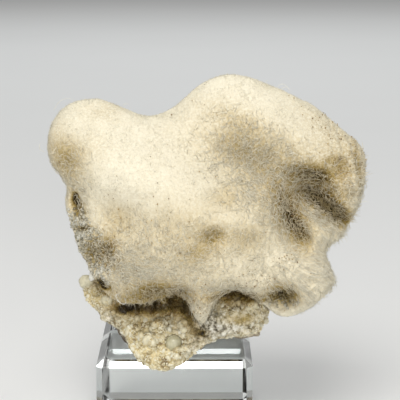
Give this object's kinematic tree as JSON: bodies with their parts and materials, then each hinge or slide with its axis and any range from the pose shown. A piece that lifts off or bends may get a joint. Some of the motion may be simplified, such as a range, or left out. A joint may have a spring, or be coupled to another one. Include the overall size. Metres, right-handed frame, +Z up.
{
  "type": "mesolite specimen on display block",
  "caption": "Felted white mesolite needle mass on a wedge of rock with a drusy hollow beneath, standing on a clear bevelled display block.",
  "frame": {"origin": "middle of the underside of the display block", "axes": "+X to the viewer's right, +Y away from the viewer, +Z up"},
  "size_m": [0.1013, 0.0712, 0.1172],
  "materials": {
    "clear_acrylic": "polished clear acrylic",
    "mesolite_felt": "felted silky needles, cream white",
    "matrix_rock": "broken, gritty rock",
    "drusy_crystals": "small glassy crystals, yellowish cream",
    "clear_crystal": "translucent round crystal"
  },
  "bodies": {
    "root": {"display_block": "clear_acrylic", "matrix": "matrix_rock", "mesolite_mass": "mesolite_felt", "druse_crust": "drusy_crystals", "globe_crystal": "clear_crystal"}
  },
  "joints": []
}
